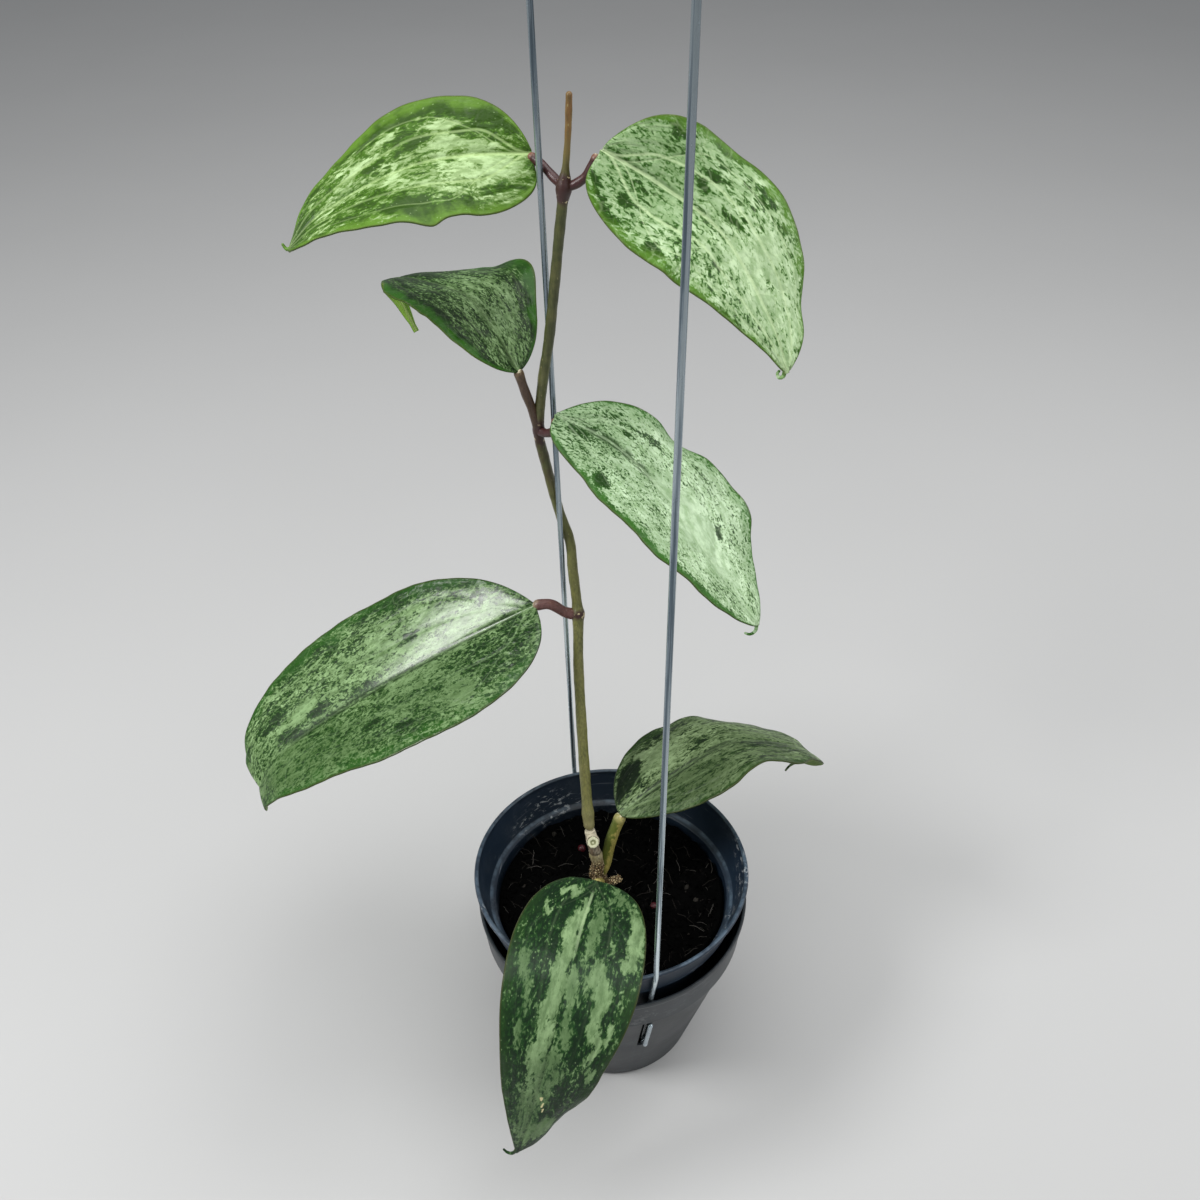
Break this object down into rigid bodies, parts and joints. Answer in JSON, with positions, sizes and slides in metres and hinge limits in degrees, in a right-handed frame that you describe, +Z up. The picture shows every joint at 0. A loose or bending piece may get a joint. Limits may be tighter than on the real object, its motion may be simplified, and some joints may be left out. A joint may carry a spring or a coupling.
{
  "type": "potted hoya macrophylla",
  "caption": "Young hoya macrophylla vine with waved, silver-flecked leaves, in a nursery pot that stands in a hanging pot with a tall wire hoop.",
  "frame": {"origin": "centre of the outer pot's flat base, on the surface that it stands on", "axes": "+Z up; -Y faces the viewer of the picture, +X is the viewer's right; the wire hoop stands nearly in the YZ plane"},
  "size_m": [0.2318, 0.1975, 0.4986],
  "materials": {
    "outer_pot_plastic": "matte dark grey moulded plastic, finely scratched",
    "inner_pot_plastic": "thin navy-black moulded plastic, satin and dusty",
    "potting_mix": "moist dark coir and peat mix with fine fibres",
    "prill_coating": "dark red resin-coated fertiliser ball",
    "galvanised_wire": "blue-grey galvanised, satin",
    "bark": "grey-tan corky bark",
    "vine_skin": "olive green waxy stem skin, maroon at the nodes",
    "maroon_stalk_skin": "dark maroon-brown waxy skin",
    "green_stalk_skin": "yellow-green waxy skin",
    "leaf_blade": "glossy waxy green with silver and pale green flecks and pale veins"
  },
  "bodies": {
    "root": {"outer_pot": "outer_pot_plastic", "inner_pot": "inner_pot_plastic", "potting_mix": "potting_mix", "fertiliser_prill_1": "prill_coating", "fertiliser_prill_2": "prill_coating", "wire_hoop": "galvanised_wire", "woody_base": "bark", "vine_stem": "vine_skin", "stalk_top_left": "maroon_stalk_skin", "leaf_top_left": "leaf_blade", "stalk_top_right": "maroon_stalk_skin", "leaf_top_right": "leaf_blade", "stalk_upper_left": "maroon_stalk_skin", "leaf_upper_left": "leaf_blade", "stalk_middle_right": "maroon_stalk_skin", "leaf_middle_right": "leaf_blade", "stalk_middle_left": "maroon_stalk_skin", "leaf_middle_left": "leaf_blade", "stalk_base_right": "green_stalk_skin", "leaf_base_right": "leaf_blade", "stalk_base_front": "green_stalk_skin", "leaf_base_front": "leaf_blade"}
  },
  "joints": []
}
